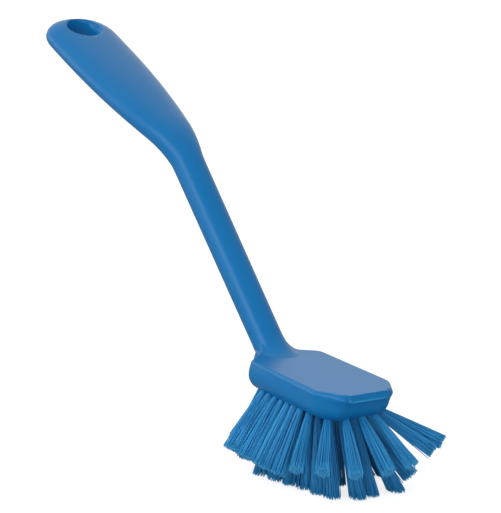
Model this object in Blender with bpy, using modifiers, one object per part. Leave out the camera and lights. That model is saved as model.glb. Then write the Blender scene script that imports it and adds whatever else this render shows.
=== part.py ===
"""Scrub brush with a scraping edge: one moulded body and the bristle tufts set in its drilled holes.

Units are metres. The origin lies in the head's flat top face. +X points to the nose with the
scraping edge, +Y across the head and +Z up, away from the bristles.
"""

from math import ceil, copysign, cos, hypot, pi, radians, sin, sqrt, tan

import bmesh
import bpy
import numpy as np
from mathutils import Matrix, Vector

# Head block: its plan from the nose to the tail under the neck, and its wall
NOSE_REACH = 0.0339
NOSE_WIDTH = 0.0280
NOSE_CHAMFER_LENGTH = 0.0135
HEAD_WIDTH = 0.0436
REAR_WIDTH = 0.0426
SHOULDER_BACK = 0.0300
SHOULDER_LENGTH = 0.0075
TAIL_ROOT_WIDTH = 0.0190
TAIL_BACK = 0.0455
TAIL_WIDTH = 0.0140
HEAD_DEPTH = 0.0138
NOSE_RAKE = 0.0030
NOSE_CORNER_RADIUS = 0.0040
SIDE_CORNER_RADIUS = 0.0070
SHOULDER_RADIUS = 0.0056
TAIL_ROOT_RADIUS = 0.0060
TAIL_RADIUS = 0.0056
FRONT_EDGE_RADIUS = 0.0014
REAR_EDGE_RADIUS = 0.0050
FRONT_RIM_RADIUS = 0.0042
REAR_RIM_RADIUS = 0.0060
WALL_BULGE = 0.0008

# Scraping edge: a lip across the nose under a bevel of the top's front edge
SCRAPER_WIDTH = 0.0236
SCRAPER_REACH = 0.0007
SCRAPER_COVER = 0.0006
SCRAPER_DROP = 0.0029
BEVEL_SETBACK = 0.0009
SCRAPER_LIP = 0.0008
SCRAPER_ROOT = 0.0060
SCRAPER_UNDERCUT = 0.0012

# Handle: heel on the head, neck, bend and grip, followed along its centre line
NECK_FOOT_BACK = 0.0416
NECK_SLOPE = radians(43.4)
BEND_HEIGHT = 0.0815
GRIP_SLOPE = radians(20.7)
BEND_RADIUS = 0.0570
GRIP_LENGTH = 0.1141
NECK_WIDTH_LOW = 0.0154
NECK_WIDTH_HIGH = 0.0166
NECK_THICKNESS = 0.0132
GRIP_WIDTH = 0.0390
GRIP_THICKNESS = 0.0170
GRIP_END_WIDTH = 0.0404
GRIP_END_THICKNESS = 0.0140
GRIP_SWELL_LENGTH = 0.0974
GRIP_SWELL_POWER = 0.54
GRIP_END_LENGTH = 0.0170
END_PLAN_POWER = 2.3
END_SIDE_POWER = 3.2
HEEL_DEPTH = 0.0085
HEEL_SINK = 0.0003
HEEL_FILLET_FRONT = 0.0080
HEEL_FILLET_SIDE = 0.0030
HEEL_TURN_START = 0.0100
HEEL_TURN_END = 0.0240

# Hanging hole through the grip's end, with a rolled rim
HANG_HOLE_RADIUS = 0.0070
HANG_HOLE_BACK = 0.0124
HANG_HOLE_WAIST = 0.0018
HANG_RIM_SPREAD = 0.0023
HANG_RIM_DEPTH = 0.0053

# Tufts: folded filaments held in drilled holes by a flat wire anchor
HOLE_RADIUS = 0.0019
HOLE_DEPTH = 0.0056
TUFT_CLEARANCE = 0.0003
OUTER_RING_INSET = 0.0048
INNER_RING_INSET = 0.0132
RING_CORNER_RADIUS = 0.0060
MIDDLE_TUFTS = 4
MIDDLE_PITCH = 0.0088
MIDDLE_BACK = 0.0030
MIDDLE_SPLAY = radians(9)
OUTER_TUFT_LENGTH = 0.0315
INNER_TUFT_LENGTH = 0.0440
BRISTLE_TRIM = 0.0355
FLAT_CUT_DEPTH = 0.0005

# Seats round a ring, counted from the nose's middle towards +Y: place as a share of the ring,
# heading and splay from straight down in degrees, then shares of the full length and tip spread
FAR_NOSE_SHARES = (
    (0.0138, -5, 55, 1.00, 1.00),
    (0.0608, 8, 57.5, 0.99, 1.00),
    (0.1025, 38, 62, 1.04, 1.00),
    (0.1360, 44, 69, 1.15, 1.00),
)
SIDE_SHARES = (
    (0.1963, 66, 31, 1.00, 0.70),
    (0.2251, 74, 30.5, 1.00, 0.70),
    (0.2539, 78, 32, 1.00, 0.70),
    (0.2827, 81, 33.5, 0.98, 0.70),
    (0.3115, 82, 35.5, 0.99, 0.70),
    (0.3404, 83, 36.5, 0.98, 0.70),
    (0.3692, 84, 37.5, 0.98, 0.70),
    (0.4250, 125, 20, 1.03, 1.00),
    (0.4587, 140.5, 25, 1.03, 1.00),
)
REAR_SHARES = ((0.5000, 180, 25, 1.03, 1.00),)
NEAR_NOSE_SHARES = (
    (0.8443, -47, 53.5, 1.00, 1.00),
    (0.9058, -39, 58, 1.00, 1.00),
    (0.9595, -24, 56, 1.00, 1.00),
)
INNER_FAR_SHARES = (
    (0.0307, 6, 25, 1.00, 1.00),
    (0.0865, 30, 33, 1.00, 1.00),
    (0.1410, 42, 46, 1.00, 1.00),
    (0.1990, 55, 34, 1.00, 1.00),
    (0.2570, 62, 27, 1.00, 1.00),
    (0.3150, 68, 25, 1.00, 1.00),
    (0.3730, 76, 25, 1.00, 1.00),
    (0.4473, 129, 22, 1.00, 1.00),
)
INNER_NEAR_SHARES = (
    (0.5527, -129, 22, 1.00, 1.00),
    (0.6270, -69, 25.5, 1.00, 1.00),
    (0.6850, -58, 24.5, 1.00, 1.00),
    (0.7430, -49, 23, 1.00, 1.00),
    (0.8010, -37, 21.5, 1.00, 1.00),
    (0.8590, -28, 22.5, 1.00, 1.00),
    (0.9135, -19, 23, 1.00, 1.00),
    (0.9693, 2, 25.5, 1.00, 1.00),
)

# Filaments and anchors
STRANDS_IN_ROUND = 8
STRAND_RADIUS = 0.00040
TUFT_ROOT_SPREAD = 0.00110
TUFT_TIP_SPREAD = 0.00290
STRAND_FUSE_DEPTH = 0.0005
ANCHOR_THICKNESS = 0.0004
ANCHOR_HEIGHT = 0.0020
ANCHOR_PROUD = 0.0004

# Facets and the overrun that every cut has past the surface it leaves
OVERRUN = 0.0010
CORNER_STEPS = 6
WALL_STEPS = 4
EDGE_STEPS = 4
RIM_STEPS = 5
HEEL_STEPS = 7
TURN_STEPS = 4
DOME_STEPS = 9
DOME_TIP_SHARE = 0.003
HANG_RIM_STEPS = 6
SECTION_POINTS = 48
SECTION_EXPONENT = 2.25
HANDLE_STEP = 0.0050
STRAND_SIDES = 3
HOLE_SIDES = 12
PLUG_SIDES = 10
SCREW_STEPS = 40
SHARP_ANGLE = radians(35)
MERGE_DISTANCE = 0.00001

# Colours in linear light
BODY_BLUE = (0.018, 0.165, 0.460, 1.0)
BRISTLE_BLUE = (0.020, 0.180, 0.520, 1.0)
BODY_ROUGHNESS = 0.36
BRISTLE_ROUGHNESS = 0.5


def clear_scene():
    for item in list(bpy.data.objects):
        bpy.data.objects.remove(item, do_unlink=True)


def new_collection(name):
    collection = bpy.data.collections.new(name)
    bpy.context.scene.collection.children.link(collection)
    return collection


def plastic(name, colour, roughness):
    material = bpy.data.materials.new(name)
    material.use_nodes = True
    shader = material.node_tree.nodes["Principled BSDF"]
    shader.inputs["Base Color"].default_value = colour
    shader.inputs["Roughness"].default_value = roughness
    shader.inputs["Metallic"].default_value = 0
    return material


def mesh_object(name, shape, collection, material=None):
    """Turn a bmesh into a smooth-shaded object of the given collection."""
    bmesh.ops.recalc_face_normals(shape, faces=shape.faces)
    mesh = bpy.data.meshes.new(name)
    shape.to_mesh(mesh)
    shape.free()
    mesh.shade_smooth()
    mesh.set_sharp_from_angle(angle=SHARP_ANGLE)
    if material:
        mesh.materials.append(material)
    item = bpy.data.objects.new(name, mesh)
    collection.objects.link(item)
    return item


def mark_as_cutter(item):
    item.hide_render = True
    item.display_type = "WIRE"


def combine(target, other, operation):
    """Add a Boolean modifier with the exact solver."""
    modifier = target.modifiers.new(other.name, "BOOLEAN")
    modifier.operation = operation
    modifier.solver = "EXACT"
    modifier.object = other


def loft(rings):
    """Join closed rings of equal length by quads and close both ends."""
    shape = bmesh.new()
    rows = [[shape.verts.new(point) for point in ring] for ring in rings]
    for low, high in zip(rows, rows[1:]):
        for i in range(len(low)):
            j = (i + 1) % len(low)
            shape.faces.new((low[i], low[j], high[j], high[i]))
    shape.faces.new(rows[0])
    shape.faces.new(rows[-1])
    return shape


# Head block


def ease(share):
    """Smooth step from 0 to 1."""
    share = min(max(share, 0.0), 1.0)
    return share * share * (3 - 2 * share)


def plan_shoulders(nose_reach):
    """The plan's corners on the +Y side, from the nose to the foot of the shoulder."""
    return [
        Vector((nose_reach, NOSE_WIDTH / 2)),
        Vector((nose_reach - NOSE_CHAMFER_LENGTH, HEAD_WIDTH / 2)),
        Vector((-SHOULDER_BACK, REAR_WIDTH / 2)),
        Vector((-SHOULDER_BACK - SHOULDER_LENGTH, TAIL_ROOT_WIDTH / 2)),
    ]


def inset_outline(half, inset):
    """The half outline and its mirror image as one polygon, every side moved inwards by inset."""
    corners = half + [Vector((p.x, -p.y)) for p in reversed(half)]
    moved = []
    for before, corner, after in zip(corners[-1:] + corners[:-1], corners, corners[1:] + corners[:1]):
        in_normal = Vector((before.y - corner.y, corner.x - before.x)).normalized()
        out_normal = Vector((corner.y - after.y, after.x - corner.x)).normalized()
        bisector = (in_normal + out_normal).normalized()
        moved.append(corner + bisector * (inset / bisector.dot(in_normal)))
    return moved


def rounded(corners, radii, steps):
    """Points of the polygon with each corner replaced by an arc, limited by half its shorter side."""
    points = []
    for i, corner in enumerate(corners):
        back = corners[i - 1] - corner
        ahead = corners[(i + 1) % len(corners)] - corner
        half_angle = back.angle(ahead) / 2
        radius = min(radii[i], min(back.length, ahead.length) / 2 * tan(half_angle))
        back.normalize()
        ahead.normalize()
        centre = corner + (back + ahead).normalized() * (radius / sin(half_angle))
        start = corner + back * (radius / tan(half_angle)) - centre
        sweep = copysign(pi - 2 * half_angle, ahead.cross(back))
        for k in range(steps + 1):
            turn = Matrix.Rotation(sweep * k / steps, 2)
            points.append(centre + turn @ start)
    return points


def head_outline(offset):
    """The rounded plan grown by offset, with arcs that stay on the same centres."""
    half = plan_shoulders(NOSE_REACH) + [Vector((-TAIL_BACK, TAIL_WIDTH / 2))]
    half_radii = [
        NOSE_CORNER_RADIUS + offset,
        SIDE_CORNER_RADIUS + offset,
        SHOULDER_RADIUS + offset,
        TAIL_ROOT_RADIUS - offset,
        TAIL_RADIUS + offset,
    ]
    return rounded(inset_outline(half, -offset), half_radii + half_radii[::-1], CORNER_STEPS)


def wall_profile(edge_radius, rim_radius):
    """Height and outward offset down the wall: top edge arc, bulging wall, rim arc."""
    profile = []
    for k in range(EDGE_STEPS + 1):
        turn = pi / 2 * (1 - k / EDGE_STEPS)
        profile.append((edge_radius * (sin(turn) - 1), edge_radius * (cos(turn) - 1)))
    wall_foot = rim_radius - HEAD_DEPTH
    for k in range(1, WALL_STEPS):
        share = k / WALL_STEPS
        height = -edge_radius + (wall_foot + edge_radius) * share
        profile.append((height, WALL_BULGE * sin(pi / 2 * share)))
    for k in range(RIM_STEPS + 1):
        turn = pi / 2 * k / RIM_STEPS
        profile.append((wall_foot - rim_radius * sin(turn), WALL_BULGE + rim_radius * (cos(turn) - 1)))
    return profile


def block_ring(front_level, rear_level):
    """A ring round the block: the edges grow rounder towards the rear, and the nose is raked."""
    ring = []
    for front, rear in zip(head_outline(front_level[1]), head_outline(rear_level[1])):
        chamfer_start = NOSE_REACH - NOSE_CHAMFER_LENGTH
        to_rear = ease((chamfer_start - front.x) / (chamfer_start + SHOULDER_BACK))
        place = front.lerp(rear, to_rear)
        z = front_level[0] + (rear_level[0] - front_level[0]) * to_rear
        to_nose = ease((place.x - chamfer_start) / NOSE_CHAMFER_LENGTH)
        ring.append((place.x + NOSE_RAKE * to_nose * z / HEAD_DEPTH, place.y, z))
    return ring


def make_head_block(collection, material):
    """The thick boat-shaped block under the bare top face."""
    front = wall_profile(FRONT_EDGE_RADIUS, FRONT_RIM_RADIUS)
    rear = wall_profile(REAR_EDGE_RADIUS, REAR_RIM_RADIUS)
    rings = [block_ring(near, far) for near, far in zip(front, rear)]
    return mesh_object("brush_body", loft(rings), collection, material)


def make_bar(name, outline, width, cutters):
    """A closed outline in x and z as a curve, extruded across the head and made a mesh."""
    curve = bpy.data.curves.new(name, "CURVE")
    curve.dimensions = "2D"
    curve.fill_mode = "BOTH"
    curve.extrude = width / 2
    spline = curve.splines.new("POLY")
    spline.points.add(len(outline) - 1)
    for point, (x, z) in zip(spline.points, outline):
        point.co = (x, z, 0, 1)
    spline.use_cyclic_u = True
    flat = bpy.data.objects.new(name, curve)
    cutters.objects.link(flat)
    flat.rotation_euler = (pi / 2, 0, 0)
    bpy.context.view_layer.update()
    mesh = bpy.data.meshes.new_from_object(flat.evaluated_get(bpy.context.evaluated_depsgraph_get()))
    shape = bmesh.new()
    shape.from_mesh(mesh)
    bmesh.ops.remove_doubles(shape, verts=shape.verts, dist=MERGE_DISTANCE)
    bmesh.ops.transform(shape, matrix=flat.matrix_world, verts=shape.verts)
    bpy.data.objects.remove(flat, do_unlink=True)
    bar = mesh_object(name, shape, cutters)
    mark_as_cutter(bar)
    return bar


def make_scraper(cutters):
    """A bar across the nose that stands out as the lip and is undercut back into the block."""
    lip_x = NOSE_REACH + SCRAPER_REACH
    root_x = NOSE_REACH - SCRAPER_ROOT
    lip_foot = -SCRAPER_DROP - SCRAPER_LIP
    outline = [
        (root_x, -SCRAPER_COVER),
        (lip_x, -SCRAPER_COVER),
        (lip_x, lip_foot),
        (root_x, lip_foot - SCRAPER_UNDERCUT),
    ]
    return make_bar("scraper_lip", outline, SCRAPER_WIDTH, cutters)


def make_bevel(cutters):
    """What is cut away above the plane from the top face down to the lip."""
    start = Vector((NOSE_REACH - BEVEL_SETBACK, 0))
    lip = Vector((NOSE_REACH + SCRAPER_REACH, -SCRAPER_DROP))
    slope = (lip - start).normalized()
    high = start - slope * OVERRUN
    low = lip + slope * OVERRUN
    outline = [tuple(high), tuple(low), (low.x + OVERRUN, low.y), (low.x + OVERRUN, high.y)]
    return make_bar("nose_bevel", outline, HEAD_WIDTH + 2 * OVERRUN, cutters)


# Handle


def centre_line():
    """Centre line from the heel to the grip's end: a straight neck, an arc and a straight grip.

    Each entry holds the distance along the line, x, z and the slope there.
    """
    bend_x = -NECK_FOOT_BACK - BEND_HEIGHT / tan(NECK_SLOPE)
    turn = NECK_SLOPE - GRIP_SLOPE
    tangent = BEND_RADIUS * tan(turn / 2)
    neck_length = BEND_HEIGHT / sin(NECK_SLOPE) - tangent
    arc_length = BEND_RADIUS * turn
    grip_length = GRIP_LENGTH - tangent
    arc_x = bend_x + tangent * cos(NECK_SLOPE)
    arc_z = BEND_HEIGHT - tangent * sin(NECK_SLOPE)
    centre_x = arc_x - BEND_RADIUS * sin(NECK_SLOPE)
    centre_z = arc_z - BEND_RADIUS * cos(NECK_SLOPE)

    def place(s):
        if s <= neck_length:
            x = -NECK_FOOT_BACK - s * cos(NECK_SLOPE)
            return x, s * sin(NECK_SLOPE), NECK_SLOPE
        if s <= neck_length + arc_length:
            slope = NECK_SLOPE - (s - neck_length) / BEND_RADIUS
            return centre_x + BEND_RADIUS * sin(slope), centre_z + BEND_RADIUS * cos(slope), slope
        left = s - neck_length - arc_length
        end_x = centre_x + BEND_RADIUS * sin(GRIP_SLOPE)
        end_z = centre_z + BEND_RADIUS * cos(GRIP_SLOPE)
        return end_x - left * cos(GRIP_SLOPE), end_z + left * sin(GRIP_SLOPE), GRIP_SLOPE

    return place, neck_length, neck_length + arc_length + grip_length


def handle_section(s, neck_length, total_length):
    """Half width and half thickness across the centre line at distance s."""
    neck_share = min(max(s / neck_length, 0.0), 1.0)
    width = NECK_WIDTH_LOW + (NECK_WIDTH_HIGH - NECK_WIDTH_LOW) * neck_share
    swell = min(max((s - neck_length) / GRIP_SWELL_LENGTH, 0.0), 1.0)
    along_grip = max((s - neck_length) / (total_length - neck_length), 0.0)
    grip_width = GRIP_WIDTH + (GRIP_END_WIDTH - GRIP_WIDTH) * ease(along_grip)
    grip_thickness = GRIP_THICKNESS + (GRIP_END_THICKNESS - GRIP_THICKNESS) * ease(along_grip)
    width += (grip_width - width) * (1 - cos(pi * swell**GRIP_SWELL_POWER)) / 2
    thickness = NECK_THICKNESS + (grip_thickness - NECK_THICKNESS) * ease(swell)
    end_share = max(1 - (total_length - s) / GRIP_END_LENGTH, 0.0)
    plan = sqrt(1 - end_share**END_PLAN_POWER)
    side = sqrt(1 - end_share**END_SIDE_POWER)
    return width / 2 * plan, thickness / 2 * side


def unit_section():
    """Points of a unit superellipse, starting on the side away from the bristles."""
    power = 2 / SECTION_EXPONENT
    points = []
    for k in range(SECTION_POINTS):
        turn = 2 * pi * k / SECTION_POINTS
        across = abs(sin(turn)) ** power * (1 if sin(turn) > 0 else -1)
        over = abs(cos(turn)) ** power * (1 if cos(turn) > 0 else -1)
        points.append((across, over))
    return points


def section_ring(x, z, plane_slope, half_length, half_width):
    """A ring in the plane that leans by plane_slope, centred on x and z."""
    lean = Vector((sin(plane_slope), 0, cos(plane_slope)))
    middle = Vector((x, 0, z))
    return [
        middle + lean * (half_length * over) + Vector((0, half_width * across, 0))
        for across, over in unit_section()
    ]


def fillet_reach(radius, z):
    """How far a concave fillet still stands out at height z, fading inside the block."""
    if z < 0:
        return radius * (1 + z / HEEL_DEPTH)
    return radius - sqrt(radius**2 - max(radius - z, 0.0) ** 2)


def heel_rings(neck_length, total_length):
    """Level rings from inside the head up the heel, whose foot spreads to the front and sides."""
    climb = [HEEL_FILLET_FRONT * (1 - cos(pi / 2 * k / HEEL_STEPS)) for k in range(1, HEEL_STEPS + 1)]
    half_length = NECK_THICKNESS / 2 / sin(NECK_SLOPE)
    rings = []
    for z in [-HEEL_DEPTH, -HEEL_DEPTH / 2, -HEEL_SINK] + climb + [HEEL_TURN_START]:
        middle = -NECK_FOOT_BACK - z / tan(NECK_SLOPE)
        half_width = handle_section(z / sin(NECK_SLOPE), neck_length, total_length)[0]
        front = fillet_reach(HEEL_FILLET_FRONT, z)
        side = fillet_reach(HEEL_FILLET_SIDE, z)
        ring = []
        for across, over in unit_section():
            ahead = max(over, 0.0)
            x = middle + half_length * over + front * ahead
            ring.append(Vector((x, across * (half_width + side * min(2 * ahead, 1.0)), z)))
        rings.append(ring)
    return rings


def make_handle(cutters):
    """One loft from the heel inside the head, up the neck and round the bend to the grip's end."""
    place, neck_length, total_length = centre_line()
    rings = heel_rings(neck_length, total_length)
    for k in range(1, TURN_STEPS + 1):
        share = k / TURN_STEPS
        height = HEEL_TURN_START + (HEEL_TURN_END - HEEL_TURN_START) * share
        slope = pi / 2 + (NECK_SLOPE - pi / 2) * share
        s = height / sin(NECK_SLOPE)
        half_width, half_thickness = handle_section(s, neck_length, total_length)
        x, z, line_slope = place(s)
        rings.append(section_ring(x, z, slope, half_thickness / cos(slope - line_slope), half_width))
    start = HEEL_TURN_END / sin(NECK_SLOPE)
    dome_start = total_length - GRIP_END_LENGTH
    count = ceil((dome_start - start) / HANDLE_STEP)
    stations = [start + (dome_start - start) * k / count for k in range(1, count + 1)]
    stations += [dome_start + GRIP_END_LENGTH * sin(pi / 2 * k / DOME_STEPS) for k in range(1, DOME_STEPS)]
    stations.append(total_length - GRIP_END_LENGTH * DOME_TIP_SHARE)
    for s in stations:
        half_width, half_thickness = handle_section(s, neck_length, total_length)
        x, z, slope = place(s)
        rings.append(section_ring(x, z, slope, half_thickness, half_width))
    handle = mesh_object("handle_loft", loft(rings), cutters)
    mark_as_cutter(handle)
    return handle


def make_hang_hole(cutters):
    """A turned cutter whose waist is the hole and whose ends open in a rolled rim."""
    place, _, total_length = centre_line()
    x, z, slope = place(total_length - HANG_HOLE_BACK)
    reach = GRIP_THICKNESS / 2 + OVERRUN
    upper = []
    for k in range(HANG_RIM_STEPS + 1):
        turn = pi / 2 * k / HANG_RIM_STEPS
        radius = HANG_HOLE_RADIUS + HANG_RIM_SPREAD * (1 - cos(turn))
        upper.append((radius, HANG_HOLE_WAIST + HANG_RIM_DEPTH * sin(turn)))
    upper.append((HANG_HOLE_RADIUS + HANG_RIM_SPREAD, reach))
    profile = [(0.0, reach)] + upper[::-1] + [(r, -h) for r, h in upper] + [(0.0, -reach)]
    mesh = bpy.data.meshes.new("hang_hole")
    edges = [(k, k + 1) for k in range(len(profile) - 1)]
    mesh.from_pydata([(r, 0, h) for r, h in profile], edges, [])
    cutter = bpy.data.objects.new("hang_hole", mesh)
    cutters.objects.link(cutter)
    screw = cutter.modifiers.new("turned", "SCREW")
    screw.steps = SCREW_STEPS
    screw.render_steps = SCREW_STEPS
    screw.use_merge_vertices = True
    screw.merge_threshold = MERGE_DISTANCE
    cutter.location = (x, 0, z)
    cutter.rotation_euler = (0, slope, 0)
    mark_as_cutter(cutter)
    return cutter


# Tufts


def places_along(points, shares):
    """Places at the given shares of a closed outline, counted from the nose's middle."""
    closed = np.array([tuple(p) for p in points])
    first = max(range(len(closed)), key=lambda i: (closed[i][0], -abs(closed[i][1])))
    closed = np.roll(closed, -first, axis=0)
    nose = np.array([closed[0][0], 0.0])
    order = closed if closed[0][1] > 0 else np.roll(closed, -1, axis=0)
    path = np.vstack([nose, order, nose])
    length = np.concatenate([[0.0], np.cumsum(np.hypot(*np.diff(path, axis=0).T))])
    wanted = np.array(shares) * length[-1]
    return list(zip(np.interp(wanted, length, path[:, 0]), np.interp(wanted, length, path[:, 1])))


def ring_seats(kind, rows, inset, full_length):
    """Name, root place, axis, length and tip spread of every tuft of one ring."""
    corners = inset_outline(plan_shoulders(NOSE_REACH - NOSE_RAKE), inset)
    ring = rounded(corners, [RING_CORNER_RADIUS] * len(corners), CORNER_STEPS)
    places = places_along(ring, [row[0] for row in rows])
    seats = []
    for number, ((x, y), row) in enumerate(zip(places, rows), 1):
        heading, splay = radians(row[1]), radians(row[2])
        axis = Vector((sin(splay) * cos(heading), sin(splay) * sin(heading), -cos(splay)))
        root = Vector((x, y, -HEAD_DEPTH))
        name = f"{kind}_tuft_{number:02d}"
        seats.append((name, root, axis, full_length * row[3], TUFT_TIP_SPREAD * row[4]))
    return seats


def middle_seats():
    """The row along the head's middle, which leans a little to the nose and to the rear."""
    seats = []
    half_count = (MIDDLE_TUFTS - 1) / 2
    for number in range(1, MIDDLE_TUFTS + 1):
        place = half_count - (number - 1)
        splay = MIDDLE_SPLAY * place / half_count
        axis = Vector((sin(splay), 0, -cos(splay)))
        root = Vector((place * MIDDLE_PITCH - MIDDLE_BACK, 0, -HEAD_DEPTH))
        length = BRISTLE_TRIM / cos(splay) + OVERRUN
        seats.append((f"middle_tuft_{number:02d}", root, axis, length, TUFT_TIP_SPREAD))
    return seats


def tuft_seats():
    """The outer ring, the inner ring and the middle row."""
    mirrored = tuple((1 - row[0], -row[1], *row[2:]) for row in reversed(SIDE_SHARES))
    outer = FAR_NOSE_SHARES + SIDE_SHARES + REAR_SHARES + mirrored + NEAR_NOSE_SHARES
    inner = INNER_FAR_SHARES + INNER_NEAR_SHARES
    seats = ring_seats("outer", outer, OUTER_RING_INSET, OUTER_TUFT_LENGTH)
    seats += ring_seats("inner", inner, INNER_RING_INSET, INNER_TUFT_LENGTH)
    return seats + middle_seats()


def aimed(root, axis):
    """Matrix that puts local +Z on the tuft's axis and the origin on its root."""
    return Matrix.Translation(root) @ axis.to_track_quat("Z", "Y").to_matrix().to_4x4()


def make_tuft_holes(seats, cutters):
    """All the drilled holes as one cutter."""
    shape = bmesh.new()
    for _, root, axis, _, _ in seats:
        slant = axis.angle(Vector((0, 0, -1)))
        out = HOLE_RADIUS * tan(slant) + OVERRUN
        middle = Matrix.Translation((0, 0, (out - HOLE_DEPTH) / 2))
        bmesh.ops.create_cone(
            shape,
            cap_ends=True,
            segments=HOLE_SIDES,
            radius1=HOLE_RADIUS,
            radius2=HOLE_RADIUS,
            depth=HOLE_DEPTH + out,
            matrix=aimed(root, axis) @ middle,
        )
    holes = mesh_object("tuft_holes", shape, cutters)
    mark_as_cutter(holes)
    return holes


def strand_places():
    """Unit places of the strands in a tuft: one in the middle and a round about it."""
    places = [Vector((0, 0, 0))]
    for k in range(STRANDS_IN_ROUND):
        turn = 2 * pi * k / STRANDS_IN_ROUND
        places.append(Vector((cos(turn), sin(turn), 0)))
    return places


def make_strands(name, length, tip_spread, cutters):
    """The visible filaments of one tuft, spreading from the plug to the tip, none crossing."""
    shape = bmesh.new()
    for place in strand_places():
        start = place * TUFT_ROOT_SPREAD - Vector((0, 0, STRAND_FUSE_DEPTH))
        end = place * tip_spread + Vector((0, 0, length))
        line = end - start
        bmesh.ops.create_cone(
            shape,
            cap_ends=True,
            segments=STRAND_SIDES,
            radius1=STRAND_RADIUS,
            radius2=STRAND_RADIUS,
            depth=line.length,
            matrix=aimed((start + end) / 2, line.normalized()),
        )
    strands = mesh_object(f"{name}_strands", shape, cutters)
    mark_as_cutter(strands)
    return strands


def make_anchor(name, cutters):
    """The flat wire that is driven in across the fold at the bottom of the hole."""
    height = ANCHOR_HEIGHT + ANCHOR_PROUD
    bottom = TUFT_CLEARANCE + ANCHOR_PROUD - HOLE_DEPTH
    width = 2 * (HOLE_RADIUS - TUFT_CLEARANCE) * cos(pi / PLUG_SIDES)
    shape = bmesh.new()
    size = Matrix.Diagonal((width, ANCHOR_THICKNESS, height, 1))
    middle = Matrix.Translation((0, 0, bottom - ANCHOR_PROUD + height / 2))
    bmesh.ops.create_cube(shape, size=1, matrix=middle @ size)
    anchor = mesh_object(f"{name}_anchor", shape, cutters)
    mark_as_cutter(anchor)
    return anchor


def make_trim_block(cutters):
    """Everything under the plane at which the longest bristles are cut level."""
    level = HEAD_DEPTH + BRISTLE_TRIM
    side = 2 * (NOSE_REACH + TAIL_BACK + OUTER_TUFT_LENGTH)
    shape = bmesh.new()
    size = Matrix.Diagonal((side, side, side, 1))
    bmesh.ops.create_cube(shape, size=1, matrix=Matrix.Translation((0, 0, -level - side / 2)) @ size)
    block = mesh_object("trim_block", shape, cutters)
    mark_as_cutter(block)
    return block


def make_tuft(seat, collection, cutters, material, trim_block):
    """A plug of folded filament in its hole, its strands and its anchor, as one solid."""
    name, root, axis, length, tip_spread = seat
    plug_length = HOLE_DEPTH - TUFT_CLEARANCE - ANCHOR_PROUD
    shape = bmesh.new()
    bmesh.ops.create_cone(
        shape,
        cap_ends=True,
        segments=PLUG_SIDES,
        radius1=HOLE_RADIUS - TUFT_CLEARANCE,
        radius2=HOLE_RADIUS - TUFT_CLEARANCE,
        depth=plug_length,
        matrix=Matrix.Translation((0, 0, -plug_length / 2)),
    )
    tuft = mesh_object(name, shape, collection, material)
    for piece in (make_strands(name, length, tip_spread, cutters), make_anchor(name, cutters)):
        piece.matrix_world = aimed(root, axis)
        combine(tuft, piece, "UNION")
    tuft.matrix_world = aimed(root, axis)
    if length * -axis.z > BRISTLE_TRIM - FLAT_CUT_DEPTH:
        combine(tuft, trim_block, "DIFFERENCE")
    return tuft


def build():
    clear_scene()
    parts = new_collection("scrub_brush")
    cutters = new_collection("cutters")
    body_plastic = plastic("body_polypropylene", BODY_BLUE, BODY_ROUGHNESS)
    bristle_plastic = plastic("bristle_polyester", BRISTLE_BLUE, BRISTLE_ROUGHNESS)
    seats = tuft_seats()
    body = make_head_block(parts, body_plastic)
    combine(body, make_handle(cutters), "UNION")
    combine(body, make_scraper(cutters), "UNION")
    combine(body, make_bevel(cutters), "DIFFERENCE")
    combine(body, make_hang_hole(cutters), "DIFFERENCE")
    combine(body, make_tuft_holes(seats, cutters), "DIFFERENCE")
    trim_block = make_trim_block(cutters)
    for seat in seats:
        make_tuft(seat, parts, cutters, bristle_plastic, trim_block)


build()
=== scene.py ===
"""Looks of the scrub brush with a scraping edge.

In order: the moulded body, the tufts of filaments, the floor with air and lamps, the camera.
"""

import bmesh
import bpy
import numpy as np
from mathutils import Matrix, Vector


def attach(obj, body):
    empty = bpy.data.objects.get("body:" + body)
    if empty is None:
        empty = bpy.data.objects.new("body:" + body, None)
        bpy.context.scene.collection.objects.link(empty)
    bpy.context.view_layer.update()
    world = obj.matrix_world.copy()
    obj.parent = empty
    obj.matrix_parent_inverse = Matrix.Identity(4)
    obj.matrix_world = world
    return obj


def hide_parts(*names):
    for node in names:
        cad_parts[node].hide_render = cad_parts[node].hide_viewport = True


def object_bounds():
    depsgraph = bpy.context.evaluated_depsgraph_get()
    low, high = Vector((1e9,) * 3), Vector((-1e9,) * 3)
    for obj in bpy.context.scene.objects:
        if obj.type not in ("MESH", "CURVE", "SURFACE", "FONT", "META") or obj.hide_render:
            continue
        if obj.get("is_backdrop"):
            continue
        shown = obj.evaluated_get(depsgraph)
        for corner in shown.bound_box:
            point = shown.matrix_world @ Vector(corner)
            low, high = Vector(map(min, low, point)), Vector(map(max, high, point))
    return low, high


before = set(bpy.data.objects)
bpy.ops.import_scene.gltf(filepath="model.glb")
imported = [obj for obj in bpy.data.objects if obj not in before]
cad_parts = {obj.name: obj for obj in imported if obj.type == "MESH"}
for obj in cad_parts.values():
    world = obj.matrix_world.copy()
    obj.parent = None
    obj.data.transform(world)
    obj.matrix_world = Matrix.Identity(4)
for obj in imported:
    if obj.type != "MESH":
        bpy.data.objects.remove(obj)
cad_box = [list(corner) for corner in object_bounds()]


# Moulded body: head, scraping lip, neck and grip in one piece of blue polypropylene. It is
# injected between two mould halves, which leave a soft gloss, a faint flow in the colour and a
# thin parting line along both sides of the handle. A painted highlight pales the lip's edge.


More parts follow.
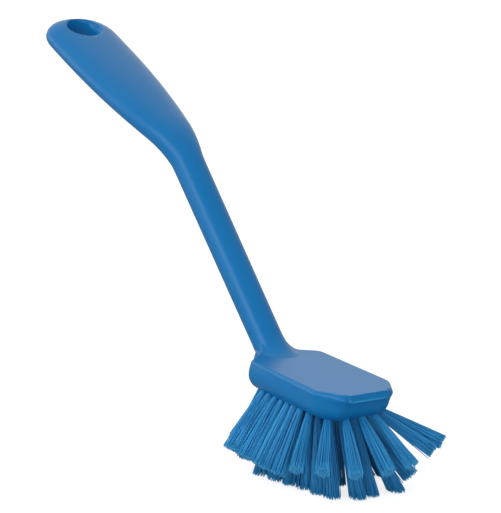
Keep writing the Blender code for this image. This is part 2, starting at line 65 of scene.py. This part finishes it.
class Wire:
    """A shader socket. Arithmetic on it adds Math nodes, and node() adds any other node."""

    def __init__(self, tree, socket):
        self.tree = tree
        self.socket = socket

    def node(self, kind, settings, inputs, output=0):
        made = self.tree.nodes.new(kind)
        for name, value in settings.items():
            setattr(made, name, value)
        for name, value in inputs.items():
            if isinstance(value, Wire):
                self.tree.links.new(value.socket, made.inputs[name])
            else:
                made.inputs[name].default_value = value
        return Wire(self.tree, made.outputs[output])

    def math(self, operation, *values):
        return self.node("ShaderNodeMath", {"operation": operation}, dict(enumerate(values)))

    def __add__(self, other):
        return self.math("ADD", self, other)

    def __radd__(self, other):
        return self.math("ADD", other, self)

    def __sub__(self, other):
        return self.math("SUBTRACT", self, other)

    def __rsub__(self, other):
        return self.math("SUBTRACT", other, self)

    def __mul__(self, other):
        return self.math("MULTIPLY", self, other)

    def __rmul__(self, other):
        return self.math("MULTIPLY", other, self)

    def __truediv__(self, other):
        return self.math("DIVIDE", self, other)

    def __rtruediv__(self, other):
        return self.math("DIVIDE", other, self)

    def clamped(self):
        return self.math("MINIMUM", self.math("MAXIMUM", self, 0.0), 1.0)

    def noise(self, where, scale, detail):
        inputs = {"Vector": where, "Scale": scale, "Detail": detail}
        return self.node("ShaderNodeTexNoise", {}, inputs)

    def component(self, number):
        """X, Y or Z of a vector, as number 0, 1 or 2."""
        return self.node("ShaderNodeSeparateXYZ", {}, {0: self}, number)

    def object_place(self):
        """The Object output of Texture Coordinate."""
        return self.node("ShaderNodeTexCoord", {}, {}, 3)

    def blend(self, share, first, second):
        """Colour that goes from the first to the second with the share.

        Sockets 6 and 7 are the Mix node's two colours, and its output 2 is the mixed one.
        """
        inputs = {0: share, 6: first, 7: second}
        return self.node("ShaderNodeMix", {"data_type": "RGBA"}, inputs, 2)


def new_material(name):
    """An empty Principled material and a wire on its shader output."""
    made = bpy.data.materials.new(name)
    made.use_nodes = True
    shader = made.node_tree.nodes["Principled BSDF"]
    return made, shader, Wire(made.node_tree, shader.outputs[0])


def feed(wire, shader, values):
    """Link wires and set constants on the shader's own sockets."""
    for name, value in values.items():
        if isinstance(value, Wire):
            wire.tree.links.new(value.socket, shader.inputs[name])
        else:
            shader.inputs[name].default_value = value


BODY_BLUE = (0.0020, 0.1690, 0.4380, 1.0)
BODY_PALE_BLUE = (0.0040, 0.1880, 0.4720, 1.0)
# Painted highlight: a paler line along the scraping lip's edge, where it would catch the light.
PAINTED_LIP_HIGHLIGHT_BLUE = (0.0400, 0.3600, 0.7200, 1.0)
LIP_HIGHLIGHT_LEVEL = -0.0031
LIP_HIGHLIGHT_HALF_HEIGHT = 0.0007
LIP_HIGHLIGHT_START_X = 0.0325
LIP_HIGHLIGHT_FADE = 0.0008
LIP_HIGHLIGHT_HALF_WIDTH = 0.0118
LIP_HIGHLIGHT_END_FADE = 0.0040
NOISE_MIDDLE = 0.5
FLOW_SCALE = 30.0
FLOW_DETAIL = 2.0
GRAIN_SCALE = 1500.0
GRAIN_DETAIL = 1.0
GRAIN_STRENGTH = 0.12
GRAIN_HEIGHT = 0.00002
BODY_ROUGHNESS = 0.32
BODY_ROUGHNESS_SPREAD = 0.08
BODY_SPECULAR = 0.28
NECK_SLOPE = np.radians(43.4)
NECK_FOOT = (-0.0416, 0.0)
GRIP_SLOPE = np.radians(20.7)
GRIP_POINT = (-0.22189, 0.11706)
BEND_SOFTNESS = 0.0068
SEAM_HALF_WIDTH = 0.00016
SEAM_FADE_HEIGHT = 0.0120
SEAM_FADE_LENGTH = 0.0100
SEAM_HEIGHT = 0.00005


def side_of_line(x, z, point, slope):
    """Signed distance of x and z from the line through the point at the slope."""
    return (x - point[0]) * float(np.sin(slope)) + (z - point[1]) * float(np.cos(slope))


def make_body_material():
    made, shader, wire = new_material("body_polypropylene_gloss")
    place = wire.object_place()
    flow = wire.noise(place, FLOW_SCALE, FLOW_DETAIL)
    grain = wire.noise(place, GRAIN_SCALE, GRAIN_DETAIL)
    x, y, z = (place.component(number) for number in range(3))
    neck = side_of_line(x, z, NECK_FOOT, NECK_SLOPE)
    grip = side_of_line(x, z, GRIP_POINT, GRIP_SLOPE)
    off_seam = wire.math("ABSOLUTE", wire.math("SMOOTH_MAX", neck, grip, BEND_SOFTNESS))
    on_handle = ((z - SEAM_FADE_HEIGHT) / SEAM_FADE_LENGTH).clamped()
    seam = (1.0 - off_seam / SEAM_HALF_WIDTH).clamped() * on_handle
    # The lip's paler line is a painted highlight along the scraping edge, not wear.
    near_level = 1.0 - wire.math("ABSOLUTE", z - LIP_HIGHLIGHT_LEVEL) / LIP_HIGHLIGHT_HALF_HEIGHT
    near_front = (x - LIP_HIGHLIGHT_START_X) / LIP_HIGHLIGHT_FADE
    between_ends = (LIP_HIGHLIGHT_HALF_WIDTH - wire.math("ABSOLUTE", y)) / LIP_HIGHLIGHT_END_FADE
    lip_highlight = near_level.clamped() * near_front.clamped() * between_ends.clamped()
    blue = wire.blend(flow, BODY_BLUE, BODY_PALE_BLUE)
    grain_inputs = {"Strength": GRAIN_STRENGTH, "Distance": GRAIN_HEIGHT, "Height": grain}
    grained = wire.node("ShaderNodeBump", {}, grain_inputs)
    seam_inputs = {"Distance": SEAM_HEIGHT, "Height": seam, "Normal": grained}
    ridged = wire.node("ShaderNodeBump", {}, seam_inputs)
    feed(
        wire,
        shader,
        {
            "Base Color": wire.blend(lip_highlight, blue, PAINTED_LIP_HIGHLIGHT_BLUE),
            "Roughness": BODY_ROUGHNESS + (flow - NOISE_MIDDLE) * BODY_ROUGHNESS_SPREAD,
            "Normal": ridged,
            "Specular IOR Level": BODY_SPECULAR,
        },
    )
    return made


# The handle is a merged copy of the node's mesh. The head, the flare where the neck meets it and
# the roll of the hanging hole's upper rim are made here and joined to it.

HEAD_DEPTH = 0.0138
HEAD_CORNERS = [
    ((0.0339, 0.0146), 0.0062),
    ((0.0211, 0.0219), 0.0070),
    ((-0.0300, 0.0208), 0.0056),
    ((-0.0375, 0.0100), 0.0060),
    ((-0.0455, 0.0074), 0.0056),
]
REAR_SECTION_SHARES = (0.0, 0.55, 1.0, 1.0, 1.0)
FRONT_SECTION = {"edge": 0.0029, "rim": 0.0065, "bulge": -0.0008}
REAR_SECTION = {"edge": 0.0014, "rim": 0.0072, "bulge": 0.0008}
EDGE_STEPS = 10
WALL_STEPS = 16
RIM_STEPS = 14
CORNER_STEPS = 16
SIDE_STEPS = 44
LEAST_RADIUS = 0.0004
NOSE_RAKE = 0.0030
NOSE_RAKE_START = 0.0206
NOSE_BAND = 0.0058
BEVEL_TOP_X = 0.0331
LIP_X = 0.0343
LIP_DROP = 0.0029
LIP_HEIGHT = 0.0006
LIP_HALF_WIDTH = 0.0118
LIP_FADE = 0.0016
HEEL_RADIUS = 0.0070
HEEL_LENGTH_SHARE = 0.3
HEEL_STEPS = 12
RING_POINTS = 96
HEEL_CLIP_SHARE = 0.995
HEEL_CLIP_CENTRE = np.array((-0.010, 0.0, 0.0))
NECK_HALF_LENGTH = 0.0094
NECK_HALF_WIDTH = 0.0075
BORE_RADIUS = 0.0070
RIM_SPREAD_ALONG = 0.0042
RIM_SPREAD_ACROSS = 0.0056
RIM_DEPTH = 0.0060
GRIP_HALF_THICKNESS = 0.0070
HANDLE_SINK = 0.0006
HANDLE_CUT_DEPTH = 0.0004
CUT_OUTLINE = [
    (-0.106, -0.06),
    (-0.0345, -0.0003),
    (-0.018, -0.0003),
    (-0.018, 0.00002),
    (0.06, 0.00002),
    (0.06, -0.06),
]
CUT_HALF_WIDTH = 0.05
TOP_RAISE = 0.00001
LEVEL_NORMAL = 0.9999
MERGE_DISTANCE = 0.000002
CREASE_ANGLE = np.radians(32)


def smooth_step(share):
    """Goes from 0 to 1 with a level start and end, as 3 s^2 - 2 s^3."""
    share = np.clip(share, 0.0, 1.0)
    return share * share * (3.0 - 2.0 * share)


def wall_section(edge, rim, bulge):
    """Height and outward offset down the wall.

    It is a quarter circle of the edge's radius, a wall that bulges like a quarter sine wave, and a
    quarter circle of the rim's radius.
    """
    turn = np.linspace(np.pi / 2, 0, EDGE_STEPS + 1)
    share = np.linspace(0, 1, WALL_STEPS + 1)[1:-1]
    swing = np.linspace(0, np.pi / 2, RIM_STEPS + 1)
    foot = rim - HEAD_DEPTH
    edge_part = np.stack((edge * (np.sin(turn) - 1), edge * (np.cos(turn) - 1)))
    wall_part = np.stack((-edge + (foot + edge) * share, bulge * np.sin(np.pi / 2 * share)))
    rim_part = np.stack((foot - rim * np.sin(swing), bulge + rim * (np.cos(swing) - 1)))
    return np.concatenate((edge_part, wall_part, rim_part), axis=1).T


def head_points():
    """Points of the head's wall, as level x place round the plan x 3.

    Corner i of the plan is an arc about a fixed centre. At a level with offset o its radius is the
    corner's own plus o, or less o at the hollow corner, so the sides move out by o as well. Height
    and offset go from the front section to the rear one corner by corner, and evenly along each
    side. The nose leans back in proportion to depth. Across it x follows the bevel down to the
    lip, keeps to the lip, and then drops back to the wall.
    """
    half = np.array([place for place, _ in HEAD_CORNERS])
    radius = np.array([radius for _, radius in HEAD_CORNERS])
    corners = np.concatenate((half, (half * (1, -1))[::-1]))
    radius = np.concatenate((radius, radius[::-1]))
    to_rear = np.concatenate((REAR_SECTION_SHARES, REAR_SECTION_SHARES[::-1]))
    back = np.roll(corners, 1, axis=0) - corners
    ahead = np.roll(corners, -1, axis=0) - corners
    back /= np.linalg.norm(back, axis=1)[:, None]
    ahead /= np.linalg.norm(ahead, axis=1)[:, None]
    half_angle = np.arccos((back * ahead).sum(axis=1)) / 2
    growth = np.sign(ahead[:, 0] * back[:, 1] - ahead[:, 1] * back[:, 0])
    inward = (back + ahead) / np.linalg.norm(back + ahead, axis=1)[:, None]
    centre = corners + inward * (radius / np.sin(half_angle))[:, None]
    first = corners + back * (radius / np.tan(half_angle))[:, None] - centre
    angle = np.arctan2(first[:, 1], first[:, 0])
    sweep = growth * (np.pi - 2 * half_angle)
    angle = angle[:, None] + sweep[:, None] * np.linspace(0, 1, CORNER_STEPS + 1)
    ray = np.stack((np.cos(angle), np.sin(angle)), axis=-1)
    front = wall_section(**FRONT_SECTION)[:, None]
    rear = wall_section(**REAR_SECTION)[:, None]
    section = front + (rear - front) * to_rear[:, None]
    reach = np.maximum(radius + growth * section[..., 1], LEAST_RADIUS)
    arcs = np.empty((len(section), len(corners), CORNER_STEPS + 1, 3))
    arcs[..., :2] = centre[:, None] + reach[..., None, None] * ray
    arcs[..., 2] = section[..., None, 0]
    share = np.linspace(0, 1, SIDE_STEPS + 1)[1:-1, None]
    ends = arcs[:, :, -1:]
    starts = np.roll(arcs[:, :, :1], -1, axis=1)
    sides = ends + (starts - ends) * share
    points = np.concatenate((arcs, sides), axis=2).reshape(len(section), -1, 3)
    x, y, z = points[..., 0], points[..., 1], points[..., 2]
    lean = smooth_step((x - NOSE_RAKE_START) / (half[0, 0] - NOSE_RAKE_START))
    x = x + NOSE_RAKE * lean * z / HEAD_DEPTH
    bevel = BEVEL_TOP_X + (LIP_X - BEVEL_TOP_X) * np.clip(-z / LIP_DROP, 0, 1)
    on_nose = (x > half[0, 0] - NOSE_BAND) * (z > -LIP_DROP - LIP_HEIGHT)
    across = smooth_step((LIP_HALF_WIDTH - np.abs(y)) / LIP_FADE) * on_nose
    points[..., 0] = x + across * np.maximum(bevel - x, 0)
    return points


def grid_mesh(name, points):
    """Mesh of closed rings laid one over the other, with a flat face over each end."""
    levels, around, _ = points.shape
    index = np.arange(levels * around).reshape(levels, around)
    high, low = index[:-1], index[1:]
    walls = np.stack((high, low, np.roll(low, -1, axis=1), np.roll(high, -1, axis=1)), axis=-1)
    faces = walls.reshape(-1, 4).tolist() + [index[0].tolist(), index[-1, ::-1].tolist()]
    mesh = bpy.data.meshes.new(name)
    mesh.from_pydata(points.reshape(-1, 3).tolist(), [], faces)
    return mesh


def heel_flare():
    """Rings of the flare round the neck's foot, as height x place round x 3.

    At height z the ring is an ellipse about the neck's axis there. Its half width is the neck's
    plus R - sqrt(R^2 - (R - z)^2), a hollow quarter circle, and its half length grows by a share
    of that.
    """
    height = HEEL_RADIUS * (1 - np.cos(np.linspace(0, np.pi / 2, HEEL_STEPS)))
    spread = HEEL_RADIUS - np.sqrt(HEEL_RADIUS**2 - (HEEL_RADIUS - height) ** 2)
    height = np.concatenate(([-HANDLE_SINK], height))[::-1, None]
    spread = np.concatenate((spread[:1], spread))[::-1, None]
    turn = np.linspace(0, 2 * np.pi, RING_POINTS, endpoint=False)
    x = (NECK_HALF_LENGTH + HEEL_LENGTH_SHARE * spread) * np.cos(turn)
    x = x + NECK_FOOT[0] - height / np.tan(NECK_SLOPE)
    y = (NECK_HALF_WIDTH + spread) * np.sin(turn)
    return np.stack((x, y, height + 0 * x), axis=-1)


def rim_cutter():
    """Rings of what is cut away to roll the hanging hole's rim on the grip's upper face.

    Up the hole's axis the radius is the bore's, then follows a quarter ellipse outwards until it
    lies level with the grip's face, and stays there above it. Across the grip the ellipse is
    wider than along it.
    """
    turn = np.linspace(0, np.pi / 2, RIM_STEPS + 1)
    out = 1 - np.cos(turn)
    height = GRIP_HALF_THICKNESS - RIM_DEPTH * (1 - np.sin(turn))
    out = np.concatenate((out[:1], out, out[-1:]))[::-1, None]
    height = np.concatenate((height[:1] - RIM_DEPTH, height, height[-1:] + RIM_DEPTH))[::-1, None]
    round_axis = np.linspace(0, 2 * np.pi, RING_POINTS, endpoint=False)
    along = (BORE_RADIUS + RIM_SPREAD_ALONG * out) * np.cos(round_axis)
    y = (BORE_RADIUS + RIM_SPREAD_ACROSS * out) * np.sin(round_axis)
    x = GRIP_POINT[0] + along * np.cos(GRIP_SLOPE) + height * np.sin(GRIP_SLOPE)
    z = GRIP_POINT[1] - along * np.sin(GRIP_SLOPE) + height * np.cos(GRIP_SLOPE)
    return np.stack((x, y, z), axis=-1)


def prism_points(outline, low, high):
    """Two rings with the outline's x and y at a high and a low level."""
    flat = np.concatenate((outline[:, :2], np.zeros((len(outline), 1))), axis=1)
    return np.stack((flat + (0, 0, high), flat + (0, 0, low)))


def solid(name, points):
    """Object with the mesh of these rings, in the scene."""
    made = bpy.data.objects.new(name, grid_mesh(name, points))
    bpy.context.scene.collection.objects.link(made)
    return made


def combine(target, other, operation):
    """Make the target the union, the difference or the common part, and remove the other."""
    step = target.modifiers.new("step", "BOOLEAN")
    step.operation = operation
    step.solver = "EXACT"
    step.object = other
    bpy.context.view_layer.update()
    graph = bpy.context.evaluated_depsgraph_get()
    mesh = bpy.data.meshes.new_from_object(target.evaluated_get(graph))
    target.modifiers.clear()
    target.data = mesh
    bpy.data.objects.remove(other)


def cut_handle(node):
    """Merged copy of the node's mesh, without what lies below the head's top.

    Behind the heel the cut falls away under the neck, so that the neck's back stays. Under the
    heel a thin plate stays, which the head covers.
    """
    shape = bmesh.new()
    shape.from_mesh(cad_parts[node].data)
    bmesh.ops.remove_doubles(shape, verts=shape.verts, dist=MERGE_DISTANCE)
    mesh = bpy.data.meshes.new("handle")
    shape.to_mesh(mesh)
    shape.free()
    handle = bpy.data.objects.new("handle", mesh)
    bpy.context.scene.collection.objects.link(handle)
    below = np.array(CUT_OUTLINE)
    sides = [np.insert(below, 1, y, axis=1) for y in (CUT_HALF_WIDTH, -CUT_HALF_WIDTH)]
    combine(handle, solid("cutter", np.stack(sides)), "DIFFERENCE")
    return handle


# The flare is kept inside the outline of the head's top, and the level faces are left flat.
head = head_points()
body = solid("moulded_body", head + (0, 0, TOP_RAISE))
flare = solid("heel_flare", heel_flare())
plan = (head[0] - HEEL_CLIP_CENTRE) * HEEL_CLIP_SHARE + HEEL_CLIP_CENTRE
prism = solid("cutter", prism_points(plan, -HANDLE_CUT_DEPTH, 2 * HEEL_RADIUS))
combine(flare, prism, "INTERSECT")
combine(body, flare, "UNION")
handle = cut_handle("brush_body")
combine(handle, solid("cutter", rim_cutter()), "DIFFERENCE")
combine(body, handle, "UNION")
body.data.set_sharp_from_angle(angle=CREASE_ANGLE)
normals = np.empty(len(body.data.polygons) * 3, dtype=np.float32)
body.data.polygons.foreach_get("normal", normals)
body.data.polygons.foreach_set("use_smooth", np.abs(normals.reshape(-1, 3)[:, 2]) < LEVEL_NORMAL)
weighted = body.modifiers.new("weighted_normals", "WEIGHTED_NORMAL")
weighted.keep_sharp = True
body.data.materials.clear()
body.data.materials.append(make_body_material())
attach(body, "root")
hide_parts("brush_body")


# Tufts: each is a bundle of fine blue polyester filaments, folded double and driven into its
# drilled hole with a flat wire anchor, then fanned and cut. Short ones are cut square to their
# own direction, and the long ones end level, at the trim.

TRIM_LEVEL = cad_box[0][2]
ANCHOR_FOOT_BAND = 0.0001
POINT_ROUNDING = 6
FILAMENTS = 104
FILAMENT_RADIUS = 0.00018
FILAMENT_SIDES = 4
FILAMENT_RINGS = 7
ROOT_SPREAD = 0.00145
OUTER_FULLNESS_SHARE = 0.86
INNER_FULLNESS_SHARE = 1.32
LEAST_TIP_SPREAD = 0.0034
OUTER_TONE_RANGE = (0.30, 1.00)
# The inner bundles' darker tone range is painted shade, for the shade among the tufts.
INNER_PAINTED_SHADE_TONES = (0.15, 0.65)
TIP_JITTER = 0.00024
BOW = 0.00028
STRAY_SHARE = 0.05
STRAY_REACH = 0.00110
LENGTH_JITTER = 0.00035
GOLDEN_ANGLE = np.pi * (3.0 - np.sqrt(5.0))
RANDOM_SEED = 7


def read_seat(node):
    """Root, axis, length and tip spread of the tuft that the solid of this name holds.

    The strands run along the axis, so it is the direction to which the faces' normals, weighted
    by their areas, are most nearly square. The anchor's foot is centred on it, and the root is
    where it meets the head's underside. Length and spread are the furthest points along and
    across it.
    """
    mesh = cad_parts[node].data
    places = np.empty(len(mesh.vertices) * 3, dtype=np.float32)
    mesh.vertices.foreach_get("co", places)
    places = places.reshape(-1, 3).astype(float)
    corners = np.empty(len(mesh.loops), dtype=np.int32)
    mesh.loops.foreach_get("vertex_index", corners)
    triangles = places[corners.reshape(-1, 3)]
    normals = np.cross(triangles[:, 1] - triangles[:, 0], triangles[:, 2] - triangles[:, 0])
    areas = np.linalg.norm(normals, axis=1)
    normals = normals[areas > 0] / np.sqrt(areas[areas > 0])[:, None]
    axis = np.linalg.eigh(normals.T @ normals)[1][:, 0]
    axis *= -np.sign(axis[2])
    points = np.unique(places.round(POINT_ROUNDING), axis=0)
    along = points @ axis
    foot = points[along < along.min() + ANCHOR_FOOT_BAND].mean(axis=0)
    root = foot + axis * (-HEAD_DEPTH - foot[2]) / axis[2]
    off_axis = np.linalg.norm(np.cross(points - root, axis), axis=1)
    return root, axis, along.max() - root @ axis, off_axis.max(), foot


def filament_paths(seat, fullness, random):
    """Points of every filament of a bundle, as filament x ring x 3.

    Filament k starts at the golden-angle spiral's place k, grows along the tuft's axis and moves
    out in proportion to its height above the mouth, with its own tip offset and length. Its bow
    is a parabola, 4 h (1 - h), that is full half-way up. Then each that would pass the trim level
    is shortened so that it ends there.
    """
    root, axis, length, spread, foot = seat
    side = np.cross(axis, (0.0, 1.0, 0.0))
    side /= np.linalg.norm(side)
    across = np.cross(axis, side)
    k = np.arange(FILAMENTS)
    angle = k * GOLDEN_ANGLE + random.uniform(0, 2 * np.pi)
    out = np.sqrt((k + 0.5) / FILAMENTS)
    spoke = np.stack((np.cos(angle), np.sin(angle)), axis=1)
    reach = length + random.normal(0, LENGTH_JITTER, FILAMENTS)
    tip_shift = random.normal(0, TIP_JITTER, (FILAMENTS, 2))
    stray = random.random(FILAMENTS) < STRAY_SHARE
    tip_shift[stray] += spoke[stray] * STRAY_REACH * random.random((stray.sum(), 1))
    bow = random.normal(0, BOW, (FILAMENTS, 2))
    tip_spread = max(spread * fullness, LEAST_TIP_SPREAD)

    def along(height):
        """Places of every filament at these heights above the mouth."""
        grown = np.clip(height / length, 0.0, None)[..., None]
        spread_here = ROOT_SPREAD + (tip_spread - ROOT_SPREAD) * grown
        flat = spoke[:, None] * out[:, None, None] * spread_here
        flat = flat + tip_shift[:, None] * grown + bow[:, None] * 4 * grown * (1 - grown)
        return root + height[..., None] * axis + flat[..., :1] * side + flat[..., 1:] * across

    tips = along(reach[:, None])[:, 0, 2]
    mouths = along(np.zeros((FILAMENTS, 1)))[:, 0, 2]
    trim = TRIM_LEVEL + random.uniform(0, LENGTH_JITTER, FILAMENTS)
    reach = reach * np.minimum(1.0, (mouths - trim) / (mouths - tips))
    depth = np.linalg.norm(root - foot)
    steps = np.linspace(0.0, 1.0, FILAMENT_RINGS)
    return along(-depth + steps * (reach[:, None] + depth)), side, across


def filament_mesh(name, paths, side, across, tones, random):
    """One closed prism of FILAMENT_SIDES sides round every path.

    Ring point i of a path lies on the circle of the filament's radius, in the tuft's cross plane.
    """
    count, rings, _ = paths.shape
    turn = 2 * np.pi * (np.arange(FILAMENT_SIDES) + 0.5) / FILAMENT_SIDES
    circle = FILAMENT_RADIUS * (np.cos(turn)[:, None] * side + np.sin(turn)[:, None] * across)
    points = (paths[:, :, None] + circle).reshape(-1, 3)
    index = np.arange(count * rings * FILAMENT_SIDES).reshape(count, rings, FILAMENT_SIDES)
    low, high = index[:, :-1], index[:, 1:]
    walls = np.stack((low, high, np.roll(high, -1, axis=2), np.roll(low, -1, axis=2)), axis=-1)
    caps = np.concatenate((index[:, 0], index[:, -1, ::-1]))
    quads = np.concatenate((walls.reshape(-1, 4), caps))
    mesh = bpy.data.meshes.new(name)
    mesh.from_pydata(points.tolist(), [], quads.tolist())
    smooth = np.arange(len(quads)) < len(quads) - len(caps)
    mesh.polygons.foreach_set("use_smooth", smooth)
    tone = np.repeat(random.uniform(*tones, count), rings * FILAMENT_SIDES)
    grown = np.tile(np.repeat(np.linspace(0, 1, rings), FILAMENT_SIDES), count)
    for label, values in (("tone", tone), ("grown", grown)):
        layer = mesh.attributes.new(label, "FLOAT", "POINT")
        layer.data.foreach_set("value", values.astype(np.float32))
    mesh.update()
    return mesh


FILAMENT_DARK = (0.0160, 0.2200, 0.5500, 1.0)
FILAMENT_LIGHT = (0.0400, 0.4200, 0.8000, 1.0)
CUT_END_BLUE = (0.0800, 0.4600, 0.8200, 1.0)
CUT_END_START_SHARE = 0.975
CUT_END_LENGTH_SHARE = 0.02
TONE_SHARE = 0.80
# Painted shade: each filament's colour grows lighter towards its tip, darker at the roots.
PAINTED_ROOT_SHADE_SHARE = 0.10
SPECKLE_SHARE = 0.10
SPECKLE_SCALE = 900.0
SPECKLE_DETAIL = 1.0
TONE_MIDDLE = 0.5
FILAMENT_ROUGHNESS = 0.42
FILAMENT_ROUGHNESS_SPREAD = 0.12
CUT_END_ROUGHNESS = 0.3
FILAMENT_SPECULAR = 0.35


def make_filament_material():
    made, shader, wire = new_material("filament_polyester")
    tone = wire.node("ShaderNodeAttribute", {"attribute_name": "tone"}, {}, 2)
    grown = wire.node("ShaderNodeAttribute", {"attribute_name": "grown"}, {}, 2)
    speckle = wire.noise(wire.object_place(), SPECKLE_SCALE, SPECKLE_DETAIL)
    # The share of grown is painted shade, darker at the roots and lighter at the tips.
    share = (tone * TONE_SHARE + grown * PAINTED_ROOT_SHADE_SHARE + speckle * SPECKLE_SHARE).clamped()
    cut_end = ((grown - CUT_END_START_SHARE) / CUT_END_LENGTH_SHARE).clamped()
    blue = wire.blend(share, FILAMENT_DARK, FILAMENT_LIGHT)
    spread = (tone - TONE_MIDDLE) * FILAMENT_ROUGHNESS_SPREAD
    feed(
        wire,
        shader,
        {
            "Base Color": wire.blend(cut_end, blue, CUT_END_BLUE),
            "Roughness": FILAMENT_ROUGHNESS + spread + cut_end * CUT_END_ROUGHNESS,
            "Specular IOR Level": FILAMENT_SPECULAR,
        },
    )
    return made


filament_material = make_filament_material()
random = np.random.default_rng(RANDOM_SEED)
for node in sorted(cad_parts):
    kind, _, label = node.partition("_tuft_")
    if not label:
        continue
    fullness = OUTER_FULLNESS_SHARE if kind == "outer" else INNER_FULLNESS_SHARE
    # Inner bundles take the darker tones: painted shade for the shade inside the brush.
    tones = OUTER_TONE_RANGE if kind == "outer" else INNER_PAINTED_SHADE_TONES
    paths, side, across = filament_paths(read_seat(node), fullness, random)
    mesh = filament_mesh(node, paths, side, across, tones, random)
    bundle = bpy.data.objects.new(f"{kind}_bundle_{label}", mesh)
    bpy.context.scene.collection.objects.link(bundle)
    bundle.data.materials.append(filament_material)
    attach(bundle, "root")
    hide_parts(node)


# Floor, air and lamps: a plain pale floor that takes the shadow, and air that is white to the
# camera and dimmer in front where the gloss mirrors it. Three large soft lamps stand up on the
# left, low on the right and behind on the left.

CENTRE = Vector((-0.080, 0.0, 0.040))
FLOOR_HALF = 6.0
FLOOR_CORNERS = [(-1, -1), (1, -1), (1, 1), (-1, 1)]
FLOOR_GAP = 0.0003
FLOOR_GREY = (0.45, 0.45, 0.46, 1.0)
FLOOR_LIFT = 0.80
AIR_WHITE = (1.0, 1.0, 1.0, 1.0)
AIR_SOFT = (0.60, 0.61, 0.64, 1.0)
AIR_DIM = (0.12, 0.13, 0.15, 1.0)
AIR_WHITE_BEHIND = -1.0
AIR_WHITE_MIDDLE = 0.35
LAMPS = [
    ("key_lamp", (0.10, -1.20, 0.80), 1.00, 6.0),
    ("fill_lamp", (1.20, -0.60, 0.02), 0.80, 5.5),
    ("side_lamp", (-0.95, -0.80, 0.32), 0.80, 2.0),
]


def ray_is(wire, kind):
    """1 for rays of this kind, else 0."""
    return wire.node("ShaderNodeLightPath", {}, {}, f"Is {kind} Ray")


def make_floor(level):
    corners = [(x * FLOOR_HALF, y * FLOOR_HALF, level) for x, y in FLOOR_CORNERS]
    mesh = bpy.data.meshes.new("floor")
    mesh.from_pydata(corners, [], [(0, 1, 2, 3)])
    floor = bpy.data.objects.new("floor", mesh)
    bpy.context.scene.collection.objects.link(floor)
    made, shader, wire = new_material("floor_paper")
    feed(wire, shader, {"Base Color": FLOOR_GREY, "Roughness": 1.0, "Specular IOR Level": 0.0})
    lift = wire.node("ShaderNodeEmission", {}, {"Color": AIR_WHITE, "Strength": FLOOR_LIFT})
    lit = wire.node("ShaderNodeAddShader", {}, {0: wire, 1: lift})
    shown = wire.node("ShaderNodeMixShader", {}, {0: ray_is(wire, "Camera"), 1: wire, 2: lit})
    sheet = made.node_tree.nodes["Material Output"]
    wire.tree.links.new(shown.socket, sheet.inputs[0])
    floor.data.materials.append(made)
    floor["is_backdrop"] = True


def make_air():
    world = bpy.data.worlds.new("studio_air")
    world.use_nodes = True
    bpy.context.scene.world = world
    wire = Wire(world.node_tree, world.node_tree.nodes["Background"].outputs[0])
    along_x = wire.node("ShaderNodeTexCoord", {}, {}, 0).component(0)
    share = (along_x * AIR_WHITE_BEHIND + AIR_WHITE_MIDDLE).clamped()
    mirrored = wire.blend(share, AIR_DIM, AIR_WHITE)
    unseen = wire.blend(ray_is(wire, "Glossy"), AIR_SOFT, mirrored)
    colour = wire.blend(ray_is(wire, "Camera"), unseen, AIR_WHITE)
    wire.tree.links.new(colour.socket, world.node_tree.nodes["Background"].inputs[0])


def make_lamp(name, offset, size, power):
    data = bpy.data.lights.new(name, "AREA")
    data.shape = "DISK"
    data.size = size
    data.energy = power
    lamp = bpy.data.objects.new(name, data)
    bpy.context.scene.collection.objects.link(lamp)
    place = CENTRE + Vector(offset)
    turn = (CENTRE - place).to_track_quat("-Z", "Y").to_matrix().to_4x4()
    lamp.matrix_world = Matrix.Translation(place) @ turn


make_floor(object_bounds()[0][2] - FLOOR_GAP)
make_air()
for lamp in LAMPS:
    make_lamp(*lamp)


# Camera: a long lens from the front left, a little above the head, rolled a few degrees.

CAMERA_PLACE = Vector((0.89587, -0.71633, 0.34796))
CAMERA_RIGHT = Vector((0.58311, 0.80958, 0.06755))
CAMERA_UP = Vector((-0.24109, 0.09304, 0.96604))
LENS = 182.46
SENSOR_WIDTH = 36.0
CLIP_START = 0.05

data = bpy.data.cameras.new("photo_camera")
data.lens = LENS
data.sensor_width = SENSOR_WIDTH
data.clip_start = CLIP_START
camera = bpy.data.objects.new("photo_camera", data)
bpy.context.scene.collection.objects.link(camera)
right = CAMERA_RIGHT.normalized()
back = right.cross(CAMERA_UP).normalized()
turn = Matrix((right, back.cross(right), back)).transposed().to_4x4()
camera.matrix_world = Matrix.Translation(CAMERA_PLACE) @ turn
bpy.context.scene.camera = camera
bpy.context.scene.view_settings.view_transform = "Standard"
